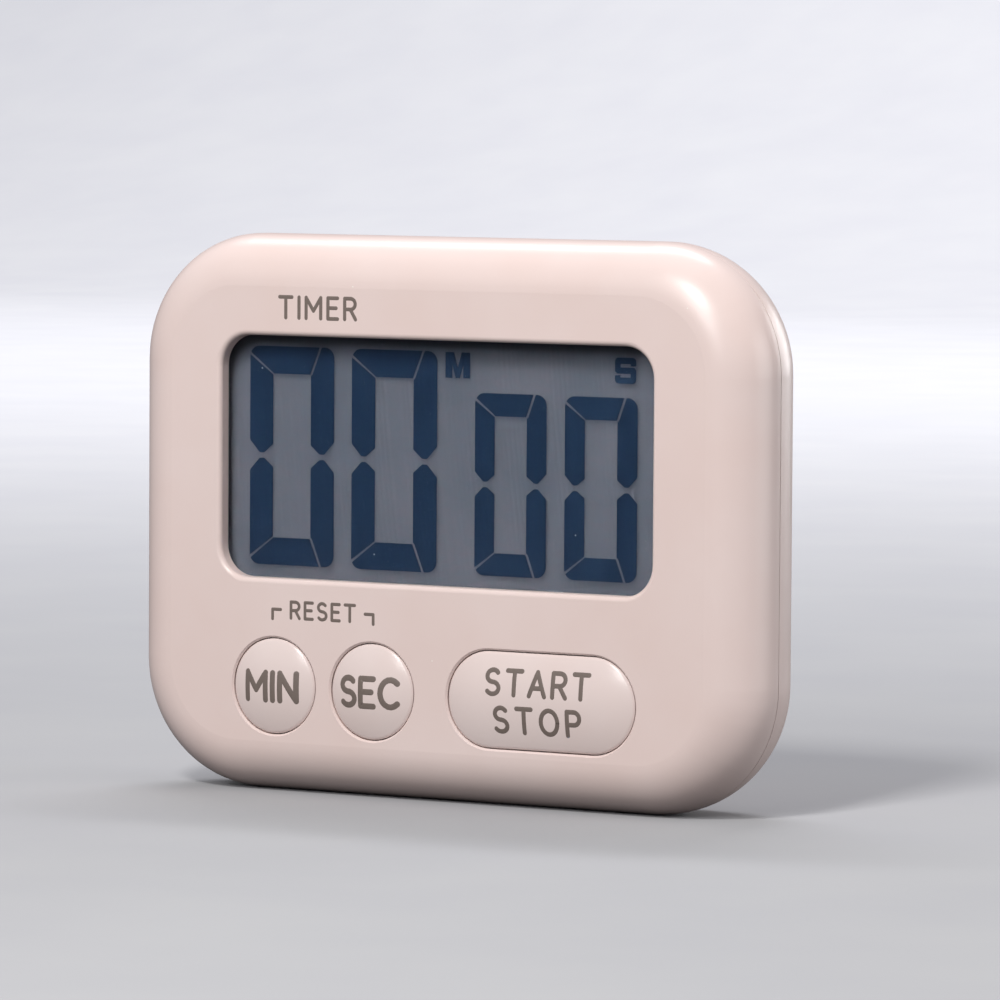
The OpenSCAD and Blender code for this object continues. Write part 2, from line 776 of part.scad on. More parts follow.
module battery_sleeve() {
    left = bay_l / 2 - contact_t - 0.3 - cell_l;
    color([0.2, 0.33, 0.45]) translate([left + 0.4, cell_y, cell_z]) rotate([0, 90, 0]) difference() {
        cylinder(h = cell_l - nub_l - 0.8, d = cell_d);
        translate([0, 0, -1]) cylinder(h = cell_l + 2, d = cell_d - 2 * sleeve_t);
    }
}

// Conical contact spring: three and a half turns of wire, wide on its plate and narrow at the cell
module battery_spring() {
    plate_x = -bay_l / 2;
    room = cell_l + 0.3 + 2 * contact_t;
    reach = bay_l - room - 0.55;
    turns = 3.5;
    steps = 56;
    path = [for (i = [0 : steps])
        let (s = i / steps, a = 360 * turns * s, r = 3.4 - 1.5 * s)
        [plate_x + contact_t + 0.2 + reach * s, cell_y + r * cos(a), cell_z + r * sin(a)]];
    color(nickel) {
        block(plate_x, plate_x + contact_t, cell_y - 4.2, cell_y + 4.2, 2.6, bay_top_z - 0.4);
        tube(path, 0.25, 8, [1, 0.01, 0.02]);
    }
}

module battery_plus_contact() {
    color(nickel) block(bay_l / 2 - contact_t, bay_l / 2, cell_y - 4.2, cell_y + 4.2, 2.6, bay_top_z - 0.4);
}

module battery_red_wire() {
    x = bay_l / 2 + bay_wall;
    color([0.75, 0.12, 0.1])
        wire([[x + 0.9, 9, 6], [x + 0.9, 6, 6.4], [x, 3.4, 8], [x - 1.4, 0.6, 10.4],
              [x - 2, 0, board_z - 0.12]]);
}

module battery_black_wire() {
    x = -bay_l / 2 - bay_wall;
    color([0.08, 0.08, 0.08])
        wire([[x - 0.9, 9, 6], [x - 0.9, 6, 6.4], [x, 3.4, 8], [x + 1.4, 0.6, 10.4],
              [x + 2, 0, board_z - 0.12]]);
}

module battery_door() {
    top = cell_y + door_w / 2;
    color(case_pink * 0.98) difference() {
        union() {
            block(-door_l / 2, door_l / 2, door_y, top, 0.1, door_t);
            translate([0, door_y, door_axis_z]) rotate([0, 90, 0]) {
                cylinder(h = door_l, d = door_t - 0.04, center = true);
                cylinder(h = door_l + 2.2, d = door_pin_d, center = true);
            }
        }
        for (i = [0:4]) block(-5, 5, top - 1.6 - i * 1.1, top - 1.1 - i * 1.1, -1, 0.4);
        translate([0, cell_y + door_w / 2 + 1.2, -3.2]) sphere(4.4);
    }
}

module magnets() {
    color([0.25, 0.25, 0.26]) magnet_boxes(0, 0.05, magnet[2]);
}

module stand() {
    color(case_pink * 0.98) difference() {
        union() {
            skin_part(0.1, stand_t, stand_w, stand_bottom, stand_axis_y, part_z);
            translate([0, stand_axis_y, stand_axis_z]) rotate([0, 90, 0])
                cylinder(h = stand_w, r = stand_barrel_r, center = true);
        }
        translate([0, stand_axis_y, stand_axis_z]) rotate([0, 90, 0])
            cylinder(h = stand_w + 2, d = stand_pin_d + 0.1, center = true);
        translate([0, stand_bottom - 0.5, 1.5]) sphere(4.2);
    }
}

module stand_pin() {
    color(nickel) translate([0, stand_axis_y, stand_axis_z]) rotate([0, 90, 0])
        cylinder(h = stand_w + 2 * (stand_gap + ear_l) - 0.2, d = stand_pin_d, center = true);
}

// Pan-head screw, its head down and its shank up, seated at z = 0
module screw(head_d, head_t, shank_d, shank_l) {
    difference() {
        union() {
            translate([0, 0, -head_t]) rotate_extrude() difference() {
                square([head_d / 2, head_t]);
                translate([head_d / 2 - 0.4, 0.4]) mirror([0, 1]) fillet_off(0.4);
            }
            cylinder(h = shank_l, d = shank_d);
        }
        for (a = [0, 90]) rotate(a)
            block(-head_d * 0.3, head_d * 0.3, -head_d * 0.06, head_d * 0.06, -head_t - 1, -head_t * 0.35);
    }
}

module housing_screws() {
    color(nickel) at_posts() translate([0, 0, screw_seat_z])
        screw(screw_head_d, screw_head_t, screw_d, screw_l);
}

module board_screws() {
    color(nickel) at_board_posts() translate([0, 0, board_z]) screw(3.2, 1.1, board_screw_d, board_screw_l);
}

upright() front_cover();
upright() rear_cover();
upright() display_window();
upright() window_tape();
upright() front_polariser();
upright() lcd_front_glass();
upright() lcd_minute_digits();
upright() lcd_second_digits();
upright() lcd_unit_letters();
upright() lcd_rear_glass();
upright() lcd_reflector();
upright() lcd_holder();
upright() zebra_connector();
upright() circuit_board();
upright() contact_pads();
upright() controller_chip();
upright() clock_crystal();
upright() chip_components();
upright() minute_button();
upright() second_button();
upright() start_stop_button();
upright() keypad_mat();
upright() minute_key_core();
upright() second_key_core();
upright() start_stop_key_core();
upright() minute_key_pill();
upright() second_key_pill();
upright() start_stop_key_pill();
upright() buzzer_plate();
upright() buzzer_ceramic();
upright() buzzer_red_wire();
upright() buzzer_black_wire();
upright() battery_can();
upright() battery_sleeve();
upright() battery_spring();
upright() battery_plus_contact();
upright() battery_red_wire();
upright() battery_black_wire();
upright() battery_door();
upright() magnets();
upright() stand();
upright() stand_pin();
upright() housing_screws();
upright() board_screws();
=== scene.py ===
# %% [markdown]
# # A kitchen timer in Blender
#
# The timer is a pale pink pillow of ABS with a recessed liquid crystal display and three sprung
# buttons. Its shells, glass, keypad, cell and stand come in finished as a CAD frame, in metres, with
# every piece in its place. This lesson gives each piece the surface of the real material, prints the
# labels on it, and lights it as a small product in a studio.

# %% Load the frame
import math

import bmesh
import bpy
from mathutils import Matrix, Vector


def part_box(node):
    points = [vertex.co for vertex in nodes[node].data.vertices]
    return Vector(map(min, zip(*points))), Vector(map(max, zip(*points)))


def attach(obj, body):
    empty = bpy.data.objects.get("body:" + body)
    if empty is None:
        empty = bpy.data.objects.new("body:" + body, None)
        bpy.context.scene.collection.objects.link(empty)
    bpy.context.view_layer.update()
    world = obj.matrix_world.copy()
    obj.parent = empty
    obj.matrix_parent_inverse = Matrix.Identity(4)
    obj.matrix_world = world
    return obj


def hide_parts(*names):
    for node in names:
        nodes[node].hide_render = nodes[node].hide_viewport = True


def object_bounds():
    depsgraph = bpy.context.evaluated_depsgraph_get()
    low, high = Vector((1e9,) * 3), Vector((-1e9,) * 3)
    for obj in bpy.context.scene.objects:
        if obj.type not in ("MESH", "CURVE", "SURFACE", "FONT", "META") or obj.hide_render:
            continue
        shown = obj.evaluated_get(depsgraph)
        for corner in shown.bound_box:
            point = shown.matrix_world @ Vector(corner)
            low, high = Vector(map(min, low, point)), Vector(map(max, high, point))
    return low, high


MM = 0.001
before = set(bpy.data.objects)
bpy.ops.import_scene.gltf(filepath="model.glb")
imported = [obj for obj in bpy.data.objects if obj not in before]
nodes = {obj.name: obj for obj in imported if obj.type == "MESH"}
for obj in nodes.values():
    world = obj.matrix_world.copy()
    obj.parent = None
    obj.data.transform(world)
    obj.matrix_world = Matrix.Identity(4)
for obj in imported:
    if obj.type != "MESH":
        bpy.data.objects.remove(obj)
cad_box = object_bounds()
print("the CAD box in mm:", [[round(v / MM, 2) for v in corner] for corner in cad_box])

# %% [markdown]
# ## Camera
#
# A long lens keeps the outline calm, because parallel edges stay nearly parallel. The camera stands to
# the right of the timer and a little above it. Its direction is built from two angles around the
# middle of the display, and the small roll leaves the view a touch off level, as a hand does.

# %% Camera
window_low, window_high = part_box("display_window")
face_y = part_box("front_cover")[0].y
display_centre = Vector((0, face_y, (window_low.z + window_high.z) / 2))

azimuth, elevation, roll = (math.radians(a) for a in (31.35, 3.68, 0.352))
camera_distance = 910.7 * MM
aim_right, aim_down = 9.15 * MM, 4.85 * MM

back = Vector((math.sin(azimuth) * math.cos(elevation),
               -math.cos(azimuth) * math.cos(elevation), math.sin(elevation)))
level = Vector((math.cos(azimuth), math.sin(azimuth), 0))
upward = back.cross(level)
right = level * math.cos(roll) + upward * math.sin(roll)
up = upward * math.cos(roll) - level * math.sin(roll)
place = display_centre + right * aim_right - up * aim_down + back * camera_distance

sensor_width, lens = 36, 244.9      # both in mm
camera = bpy.data.objects.new("camera", bpy.data.cameras.new("camera"))
camera.data.sensor_width, camera.data.lens = sensor_width, lens
camera.data.clip_start, camera.data.clip_end = 0.05, 20
camera.matrix_world = Matrix.Translation(place) @ Matrix((right, up, back)).transposed().to_4x4()
bpy.context.scene.collection.objects.link(camera)
bpy.context.scene.camera = camera
print("camera stands at", [round(v, 3) for v in place])

# %% [markdown]
# ## Colour and nodes
#
# Colours are written as the hex values a designer would read from a swatch. Shaders work in linear
# light, so one function turns them over. A second small function adds any node with its settings and
# its links, for materials and for Geometry Nodes alike.


# %% Helpers for colour and nodes
def linear(hex_colour):
    """The four linear values of an sRGB hex colour."""
    channels = [int(hex_colour[i:i + 2], 16) / 255 for i in (1, 3, 5)]
    return [c / 12.92 if c <= 0.04045 else ((c + 0.055) / 1.055) ** 2.4 for c in channels] + [1]


def add(tree, kind, inputs=None, **settings):
    """Adds a node. Each of its inputs takes a value or another node's output."""
    node = tree.nodes.new(kind)
    for name, value in settings.items():
        setattr(node, name, value)
    for name, value in (inputs or {}).items():
        if isinstance(value, bpy.types.NodeSocket):
            tree.links.new(value, node.inputs[name])
        else:
            node.inputs[name].default_value = value
    return node


def new_material(name):
    """An empty material: its node tree, and its place on the piece as coordinates in metres."""
    material = bpy.data.materials.new(name)
    material.use_nodes = True
    material.node_tree.nodes.clear()
    tree = material.node_tree
    return material, tree, add(tree, "ShaderNodeTexCoord").outputs["Object"]


def wear(material, *names):
    """Puts a material on CAD nodes."""
    for name in names:
        for material_slot in nodes[name].material_slots:
            material_slot.material = material
    print(material.name, "on", ", ".join(names))


# %% [markdown]
# ## Moulded ABS
#
# The case is injection-moulded ABS, coloured in the pellet, from a mould with a fine spark-eroded
# texture. The eye gets a soft satin: a broad, weak highlight that never mirrors anything. The pink is
# even, with a faint drift where the melt flowed, and the odd speck of dust sits on it. The grain of
# such a mould is about 0.1 mm. That is too fine to show here, so it is drawn at 0.35 mm.


# %% Patterns that many finishes share
def mottle(tree, place, size_mm, first, second, detail=3):
    """A colour that drifts between two, in blotches about size_mm across."""
    blotches = add(tree, "ShaderNodeTexNoise", {
        "Vector": place, "Scale": 1 / (size_mm * MM), "Detail": detail}).outputs["Fac"]
    spread = add(tree, "ShaderNodeMapRange", {"Value": blotches, "From Min": 0.3, "From Max": 0.7}).outputs[0]
    return add(tree, "ShaderNodeMix", {0: spread, 6: linear(first), 7: linear(second)},
               data_type="RGBA").outputs[2]


def uneven(tree, place, size_mm, low, high, detail=4):
    """A number, such as a roughness, that wanders from low to high over size_mm."""
    wander = add(tree, "ShaderNodeTexNoise", {
        "Vector": place, "Scale": 1 / (size_mm * MM), "Detail": detail}).outputs["Fac"]
    return add(tree, "ShaderNodeMapRange", {
        "Value": wander, "From Min": 0.3, "From Max": 0.7, "To Min": low, "To Max": high}).outputs[0]


def grain(tree, place, size_mm, depth_mm):
    """The fine relief that a mould or a blade leaves."""
    relief = add(tree, "ShaderNodeTexNoise", {
        "Vector": place, "Scale": 1 / (size_mm * MM), "Detail": 2}).outputs["Fac"]
    return add(tree, "ShaderNodeBump", {"Height": relief, "Distance": depth_mm * MM}).outputs[0]


def dust_specks(tree, place, share, cell_mm=2.6, speck_mm=0.104):
    """1 on specks of radius speck_mm, in a share of the cells of a loose grid, and 0 elsewhere."""
    cells = add(tree, "ShaderNodeTexVoronoi", {"Vector": place, "Scale": 1 / (cell_mm * MM)}).outputs
    near = add(tree, "ShaderNodeMath", {0: cells["Distance"], 1: speck_mm / cell_mm},
               operation="LESS_THAN").outputs[0]
    pick = add(tree, "ShaderNodeSeparateColor", {"Color": cells["Color"]}).outputs["Red"]
    few = add(tree, "ShaderNodeMath", {0: pick, 1: share}, operation="LESS_THAN").outputs[0]
    return add(tree, "ShaderNodeMath", {0: near, 1: few}, operation="MULTIPLY").outputs[0]


# %% Moulded plastic
def moulded(name, colour, drift, roughness, grain_mm=0.35, grain_depth_mm=0.002, dust=0):
    """A moulded or cast material. The colour leans to drift, and dust is the share of dusty spots."""
    material, tree, place = new_material(name)
    surface = mottle(tree, place, 14, colour, drift)
    if dust:
        specks = dust_specks(tree, place, dust)
        surface = add(tree, "ShaderNodeMix", {0: specks, 6: surface, 7: linear("#EFE5DF")},
                      data_type="RGBA").outputs[2]
    shader = add(tree, "ShaderNodeBsdfPrincipled", {
        "Base Color": surface, "IOR": 1.5,
        "Roughness": uneven(tree, place, 8, roughness - 0.015, roughness + 0.02),
        "Normal": grain(tree, place, grain_mm, grain_depth_mm)})
    add(tree, "ShaderNodeOutputMaterial", {"Surface": shader.outputs[0]})
    return material


case_abs = moulded("moulded_abs_satin_pink", "#E3D0CB", "#E0CBC5", 0.31, dust=0.15)
wear(case_abs, "front_cover", "rear_cover", "battery_door", "stand")

# %% [markdown]
# ## Button caps
#
# The caps are ABS too, but from a polished cavity, so they are glossier than the case. A crown with a
# rounded rim shows every flaw in its shading, and the loose triangles of a CAD mesh meet with flaws
# at the middle of the crown. A merged copy cures that: its doubles are joined, and its normals are
# smooth except across real corners. The copy stands for the CAD cap, in the same place.


# %% Smooth caps
def smooth_copy(name, node, body, material, corner_degrees=35):
    """A merged copy of a CAD node that rides on its body, sharp only at corners over corner_degrees."""
    shape = bmesh.new()
    shape.from_mesh(nodes[node].data)
    bmesh.ops.remove_doubles(shape, verts=shape.verts, dist=0.001 * MM)
    mesh = bpy.data.meshes.new(name)
    mesh.from_pydata([vert.co for vert in shape.verts], [],
                     [[vert.index for vert in face.verts] for face in shape.faces])
    shape.free()
    mesh.shade_smooth()
    mesh.set_sharp_from_angle(angle=math.radians(corner_degrees))
    mesh.materials.append(material)
    copy = bpy.data.objects.new(name, mesh)
    bpy.context.scene.collection.objects.link(copy)
    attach(copy, body)
    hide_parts(node)
    print(name, len(mesh.polygons), "faces")
    return copy


button_abs = moulded("moulded_abs_gloss_pink", "#E2D2CE", "#DFCDC8", 0.22, 0.5, 0.0005)
caps = {key: smooth_copy(key + "_cap", key + "_button", key + "_key", button_abs)
        for key in ("minute", "second", "start_stop")}

# %% [markdown]
# ## The window and the display glass
#
# The window is clear moulded acrylic. It bends what is seen through it, so the display looks nearer
# than it is, and its coating leaves only a quarter of the usual reflection. Behind it the polariser
# and the two sheets of glass are bonded, so no light comes back from between them, and each is just a
# faint tint. Lamps have to reach the grey film behind all this, and a refracting shader would stop
# them, so rays from lamps are let straight through the window.
#
# The dark segments are liquid crystal a few thousandths of a millimetre thick. Here they are thicker
# solids, so they are told to cast no shadow, which keeps the fine gaps between them bright.


# %% Window
COATING_LEAVES = 0.25       # share of the usual reflection


def coated_window():
    """Clear acrylic with a weak reflection and a little lint on it."""
    material, tree, place = new_material("coated_clear_acrylic")
    smear = uneven(tree, place, 9, 0.01, 0.04)
    bent = add(tree, "ShaderNodeBsdfRefraction", {"Color": linear("#FDFDFD"), "Roughness": 0, "IOR": 1.49})
    mirror = add(tree, "ShaderNodeBsdfGlossy", {"Color": linear("#FFFFFF"), "Roughness": smear})
    slant = add(tree, "ShaderNodeFresnel", {"IOR": 1.49}).outputs[0]
    coated = add(tree, "ShaderNodeMath", {0: slant, 1: COATING_LEAVES}, operation="MULTIPLY").outputs[0]
    seen = add(tree, "ShaderNodeMixShader", {0: coated, 1: bent.outputs[0], 2: mirror.outputs[0]})
    let_in = add(tree, "ShaderNodeBsdfTransparent", {"Color": linear("#FDFDFD")})
    from_lamps = add(tree, "ShaderNodeLightPath").outputs["Is Shadow Ray"]
    clear = add(tree, "ShaderNodeMixShader", {0: from_lamps, 1: seen.outputs[0], 2: let_in.outputs[0]})
    lint = add(tree, "ShaderNodeBsdfDiffuse", {"Color": linear("#8A9096")})
    dusty = add(tree, "ShaderNodeMixShader", {
        0: dust_specks(tree, place, 0.06), 1: clear.outputs[0], 2: lint.outputs[0]})
    add(tree, "ShaderNodeOutputMaterial", {"Surface": dusty.outputs[0]})
    return material


# %% Bonded sheets
def bonded_sheet(name, tint, drift):
    """A sheet with no reflection of its own: tint is what one of its faces leaves of the light."""
    material, tree, place = new_material(name)
    through = add(tree, "ShaderNodeBsdfTransparent", {"Color": mottle(tree, place, 12, tint, drift)})
    add(tree, "ShaderNodeOutputMaterial", {"Surface": through.outputs[0]})
    return material


def bonded_film(name, colour, streak, stretch):
    """A film under glass: fine streaks run along its rolling direction, and it has hardly any gloss."""
    material, tree, place = new_material(name)
    drawn_out = add(tree, "ShaderNodeMapping", {"Vector": place, "Scale": stretch}).outputs[0]
    shader = add(tree, "ShaderNodeBsdfPrincipled", {
        "Base Color": mottle(tree, drawn_out, 0.4, colour, streak),
        "Roughness": uneven(tree, place, 6, 0.5, 0.6), "IOR": 1.08,
        "Normal": grain(tree, place, 0.3, 0.001)})
    add(tree, "ShaderNodeOutputMaterial", {"Surface": shader.outputs[0]})
    return material


wear(coated_window(), "display_window")
wear(bonded_sheet("cut_float_glass", "#FBFEFD", "#F9FDFC"), "lcd_front_glass", "lcd_rear_glass")
wear(bonded_sheet("polarising_film", "#F3F4F6", "#F0F2F5"), "front_polariser")
wear(bonded_film("grey_reflective_film", "#776A75", "#716B76", (0.3, 1, 1)), "lcd_reflector")
SEGMENTS = ("lcd_minute_digits", "lcd_second_digits", "lcd_unit_letters")
wear(bonded_film("darkened_liquid_crystal", "#1F2D42", "#243248", (1, 1, 1)), *SEGMENTS)
for name in SEGMENTS:
    nodes[name].visible_shadow = False
print("no shadow from", ", ".join(SEGMENTS))

# %% [markdown]
# ## The pieces inside
#
# Most of these show only when the battery door is open or the timer is taken apart, and each still
# gets the finish it has on the bench: cast rubber, solder mask, dropped epoxy, plated steel.


# %% Rubber, films, resin and ceramic
wear(moulded("polystyrene_off_white", "#D3D2CB", "#CCCABF", 0.45), "lcd_holder")
wear(moulded("silicone_rubber_grey", "#56585C", "#4E5054", 0.6, 0.5, 0.004),
     "keypad_mat", "minute_key_core", "second_key_core", "start_stop_key_core")
wear(moulded("conductive_rubber_black", "#1D1D1E", "#242425", 0.7, 0.3, 0.004),
     "minute_key_pill", "second_key_pill", "start_stop_key_pill")
wear(moulded("dropped_epoxy_black", "#121214", "#17171A", 0.16, 1.5, 0.01), "controller_chip")
wear(moulded("foam_tape_black", "#18181A", "#202022", 0.85, 0.25, 0.02), "window_tape")
wear(moulded("sintered_ferrite_black", "#38383A", "#2E2E30", 0.55, 0.4, 0.01), "magnets")
wear(moulded("fired_chip_ceramic", "#A08A6C", "#8F7A5E", 0.5), "chip_components")
wear(moulded("silvered_piezo_ceramic", "#D2CFC4", "#C6C3B8", 0.3, 0.6, 0.002), "buzzer_ceramic")
wear(moulded("pvc_wire_red", "#B3211B", "#A81C17", 0.35), "buzzer_red_wire", "battery_red_wire")
wear(moulded("pvc_wire_black", "#1B1B1C", "#222223", 0.35), "buzzer_black_wire", "battery_black_wire")


# %% [markdown]
# ## Metals
#
# The cell's can, the contacts, the pin and the screws are nickel-plated steel. Drawing and rolling
# leave fine lines along the piece, so the roughness varies across them and hardly along them.


# %% Plated and rolled metal
def metal(name, colour, stain, roughness, line_mm, along=(0.08, 1, 1)):
    """A plated metal with fine lines that run along X unless along says otherwise."""
    material, tree, place = new_material(name)
    drawn_out = add(tree, "ShaderNodeMapping", {"Vector": place, "Scale": along}).outputs[0]
    shader = add(tree, "ShaderNodeBsdfPrincipled", {
        "Base Color": mottle(tree, place, 3, colour, stain), "Metallic": 1.0,
        "Roughness": uneven(tree, drawn_out, line_mm, roughness - 0.06, roughness + 0.1, 3),
        "Normal": grain(tree, drawn_out, line_mm, 0.001)})
    add(tree, "ShaderNodeOutputMaterial", {"Surface": shader.outputs[0]})
    return material


wear(metal("nickel_plated_steel", "#C9C7C2", "#BDBAB4", 0.26, 0.25), "battery_can",
     "battery_spring", "battery_plus_contact", "clock_crystal", "stand_pin", "housing_screws",
     "board_screws")
wear(metal("rolled_brass", "#C9A15A", "#BD954F", 0.32, 0.3), "buzzer_plate")
wear(metal("gold_flashed_copper", "#D4AC66", "#C89F58", 0.28, 0.4), "contact_pads")


# %% [markdown]
# ## Board, connector and cell
#
# Three finishes carry a drawn pattern. The board's solder mask is a clear green lacquer, and copper
# tracks lift it a little. The connector is a sandwich of dark and pale silicone bands at a pitch of a
# fifth of a millimetre. The cell's sleeve is a plain printed shrink film with a copper-coloured band
# at its positive end.


# %% Printed and layered finishes
def solder_mask():
    """Green lacquer over copper tracks half a millimetre wide, around fields of 1 by 2 mm."""
    material, tree, place = new_material("solder_mask_green")
    upright = add(tree, "ShaderNodeMapping", {"Vector": place, "Rotation": (math.radians(90), 0, 0)})
    tracks = add(tree, "ShaderNodeTexBrick", {
        "Vector": upright.outputs[0], "Scale": 1 / (4 * MM), "Mortar Size": 0.06, "Mortar Smooth": 0.1,
        "Color1": (1, 1, 1, 1), "Color2": (1, 1, 1, 1), "Mortar": (0, 0, 0, 1)}).outputs["Fac"]
    lacquer = add(tree, "ShaderNodeMix", {0: tracks, 6: linear("#17552F"), 7: linear("#2B7A47")},
                  data_type="RGBA").outputs[2]
    raised = add(tree, "ShaderNodeBump", {"Height": tracks, "Distance": 0.03 * MM}).outputs[0]
    shader = add(tree, "ShaderNodeBsdfPrincipled", {
        "Base Color": lacquer, "Roughness": uneven(tree, place, 2, 0.22, 0.34, 3), "Normal": raised})
    add(tree, "ShaderNodeOutputMaterial", {"Surface": shader.outputs[0]})
    return material


def zebra_bands():
    """Dark and pale silicone bands across X, at a pitch of 0.2 mm."""
    material, tree, place = new_material("banded_silicone")
    waves = 2 * math.pi / 20        # a wave texture of scale 1 repeats over this length
    bands = add(tree, "ShaderNodeTexWave", {"Vector": place, "Scale": waves / (0.2 * MM)}).outputs["Fac"]
    silicone = add(tree, "ShaderNodeMix", {0: bands, 6: linear("#2A2827"), 7: linear("#B9AFA6")},
                   data_type="RGBA").outputs[2]
    shader = add(tree, "ShaderNodeBsdfPrincipled", {
        "Base Color": silicone, "Roughness": uneven(tree, place, 1, 0.5, 0.65, 2)})
    add(tree, "ShaderNodeOutputMaterial", {"Surface": shader.outputs[0]})
    return material


def cell_sleeve():
    """Slate shrink film with a copper-coloured band around the positive end."""
    material, tree, place = new_material("printed_shrink_film")
    sleeve_low, sleeve_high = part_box("battery_sleeve")
    band_share = 0.3
    band_starts = sleeve_high.x - band_share * (sleeve_high.x - sleeve_low.x)
    along = add(tree, "ShaderNodeSeparateXYZ", {"Vector": place}).outputs["X"]
    band = add(tree, "ShaderNodeMath", {0: along, 1: band_starts}, operation="GREATER_THAN").outputs[0]
    film = add(tree, "ShaderNodeMix", {
        0: band, 6: mottle(tree, place, 0.6, "#2C3B4A", "#314252"), 7: linear("#B98452")},
               data_type="RGBA").outputs[2]
    shader = add(tree, "ShaderNodeBsdfPrincipled", {
        "Base Color": film, "Roughness": uneven(tree, place, 4, 0.2, 0.3, 3),
        "Normal": grain(tree, place, 2, 0.01)})
    add(tree, "ShaderNodeOutputMaterial", {"Surface": shader.outputs[0]})
    return material


wear(solder_mask(), "circuit_board")
wear(zebra_bands(), "zebra_connector")
wear(cell_sleeve(), "battery_sleeve")

# %% [markdown]
# ## Printed labels
#
# The labels are pad-printed: a soft pad lays down a film of ink a few hundredths of a millimetre
# thick, so it follows the crown of a button without a step. Each letter is a pen path with round
# ends. The words are plain ones that say what the timer is and what each button does.
#
# The paths are drawn by a few lines and arcs on a grid one letter high. Geometry Nodes then lays a
# round pen along them, presses it flat, and drops it on the surface below by casting a ray.


# %% Pen paths of the letters
def arc(centre, radii, start, end, steps=14):
    """Points of an elliptical arc, with its angles in degrees."""
    turns = [math.radians(start + (end - start) * i / steps) for i in range(steps + 1)]
    return [(centre[0] + radii[0] * math.cos(t), centre[1] + radii[1] * math.sin(t)) for t in turns]


PEN_PATHS = {   # each letter's width, and its strokes
    "A": (0.74, [[(0, 0), (0.37, 1), (0.74, 0)], [(0.13, 0.33), (0.61, 0.33)]]),
    "C": (0.72, [arc((0.42, 0.5), (0.4, 0.5), 48, 312)]),
    "E": (0.55, [[(0.55, 1), (0, 1), (0, 0), (0.55, 0)], [(0, 0.52), (0.47, 0.52)]]),
    "I": (0.0, [[(0, 0), (0, 1)]]),
    "M": (0.84, [[(0, 0), (0, 1), (0.42, 0.36), (0.84, 1), (0.84, 0)]]),
    "N": (0.66, [[(0, 0), (0, 1), (0.66, 0), (0.66, 1)]]),
    "O": (0.8, [arc((0.4, 0.5), (0.4, 0.5), 0, 360, 28)]),
    "P": (0.6, [[(0, 0), (0, 1)] + arc((0.33, 0.73), (0.27, 0.27), 90, -90) + [(0, 0.46)]]),
    "R": (0.62, [[(0, 0), (0, 1)] + arc((0.33, 0.74), (0.27, 0.26), 90, -90) + [(0, 0.48)],
                 [(0.32, 0.48), (0.62, 0)]]),
    "S": (0.6, [arc((0.3, 0.75), (0.28, 0.25), 35, 270) + arc((0.3, 0.25), (0.3, 0.25), 90, -145)[1:]]),
    "T": (0.7, [[(0, 1), (0.7, 1)], [(0.35, 1), (0.35, 0)]]),
}


def word_paths(word, middle, height, spacing):
    """Strokes of a word in mm, centred on middle, with spacing between its letters."""
    widths = [PEN_PATHS[letter][0] * height for letter in word]
    x = middle[0] - (sum(widths) + spacing * (len(word) - 1)) / 2
    strokes = []
    for letter, width in zip(word, widths):
        for stroke in PEN_PATHS[letter][1]:
            strokes.append([(x + px * height, middle[1] + (py - 0.5) * height) for px, py in stroke])
        x += width + spacing
    return strokes


# %% Geometry Nodes for print
RAY_START = 100 * MM        # the rays start this far in front of the back plane


